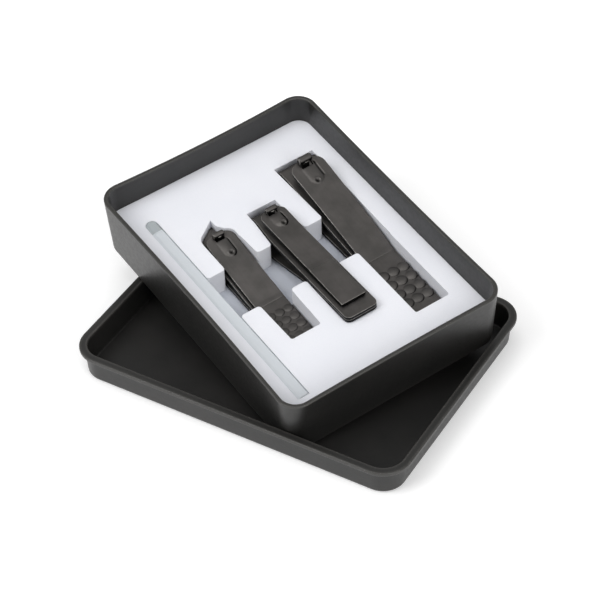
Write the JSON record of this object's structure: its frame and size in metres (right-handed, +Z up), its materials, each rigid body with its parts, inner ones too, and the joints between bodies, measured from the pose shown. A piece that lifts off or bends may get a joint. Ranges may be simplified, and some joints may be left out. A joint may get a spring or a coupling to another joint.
{
  "type": "manicure set case",
  "caption": "Open manicure case: a deep tray with a cut foam insert holding nail clippers and a glass nail file, leaning in its own upturned shallow lid.",
  "frame": {"origin": "on the table, under the middle of the upturned lid", "axes": "+X along the lid's long side, towards the corner that the tray leans into; +Z up; -Y towards the lid's front wall, in which the tray's lowest corner stands"},
  "size_m": [0.1364, 0.1208, 0.0422],
  "materials": {
    "plastic": "matte, dark warm grey, fine texture",
    "foam": "matte closed-cell foam, bluish white",
    "glass": "frosted, with a clear end",
    "steel": "satin gunmetal coating"
  },
  "bodies": {
    "lid": {"lid_shell": "plastic"},
    "tray": {"tray_shell": "plastic", "foam_sheet": "foam", "foam_insert": "foam"},
    "file": {"glass_file": "glass"},
    "small": {"small_lower_leaf": "steel", "small_rivet": "steel", "small_pin": "steel"},
    "small_upper": {"small_upper_leaf": "steel"},
    "small_arm": {"small_lever": "steel"},
    "medium": {"medium_lower_leaf": "steel", "medium_rivet": "steel", "medium_pin": "steel"},
    "medium_upper": {"medium_upper_leaf": "steel"},
    "medium_arm": {"medium_lever": "steel"},
    "large": {"large_lower_leaf": "steel", "large_rivet": "steel", "large_pin": "steel", "large_cross_pin": "steel"},
    "large_upper": {"large_upper_leaf": "steel"},
    "large_arm": {"large_lever": "steel"}
  },
  "joints": [
    {"name": "tray_lift", "type": "slide", "parent": "lid", "child": "tray", "axis": [0, 0, 1], "range_m": [0, 0.06]},
    {"name": "file_lift", "type": "slide", "parent": "tray", "child": "file", "axis": [0.0639, -0.1185, 0.9909], "range_m": [0, 0.03]},
    {"name": "small_lift", "type": "slide", "parent": "tray", "child": "small", "axis": [0.0639, -0.1185, 0.9909], "range_m": [0, 0.04]},
    {"name": "small_press", "type": "hinge", "parent": "small", "child": "small_upper", "pos_m": [-0.00665, -0.00049, 0.0125], "axis": [-0.4307, -0.899, -0.0797], "range_deg": [0, 2.2], "stiffness_Nm_per_rad": 1.2, "springref_deg": -0.57},
    {"name": "small_lever_turn", "type": "hinge", "parent": "small", "child": "small_arm", "pos_m": [-0.03851, 0.01366, 0.02512], "axis": [-0.4307, -0.899, -0.0797], "range_deg": [0, 110]},
    {"name": "medium_lift", "type": "slide", "parent": "tray", "child": "medium", "axis": [0.0639, -0.1185, 0.9909], "range_m": [0, 0.04]},
    {"name": "medium_press", "type": "hinge", "parent": "medium", "child": "medium_upper", "pos_m": [0.00987, 0.01131, 0.02221], "axis": [-0.4307, -0.899, -0.0797], "range_deg": [0, 2], "stiffness_Nm_per_rad": 1.5, "springref_deg": -0.57},
    {"name": "medium_lever_turn", "type": "hinge", "parent": "medium", "child": "medium_arm", "pos_m": [-0.02644, 0.02798, 0.03044], "axis": [-0.4307, -0.899, -0.0797], "range_deg": [0, 110]},
    {"name": "large_lift", "type": "slide", "parent": "tray", "child": "large", "axis": [0.0639, -0.1185, 0.9909], "range_m": [0, 0.04]},
    {"name": "large_press", "type": "hinge", "parent": "large", "child": "large_upper", "pos_m": [0.02598, 0.02791, 0.01394], "axis": [-0.4307, -0.899, -0.0797], "range_deg": [0, 2.2], "stiffness_Nm_per_rad": 2, "springref_deg": -0.57},
    {"name": "large_lever_turn", "type": "hinge", "parent": "large", "child": "large_arm", "pos_m": [-0.02697, 0.0514, 0.03519], "axis": [-0.4307, -0.899, -0.0797], "range_deg": [0, 110]}
  ]
}
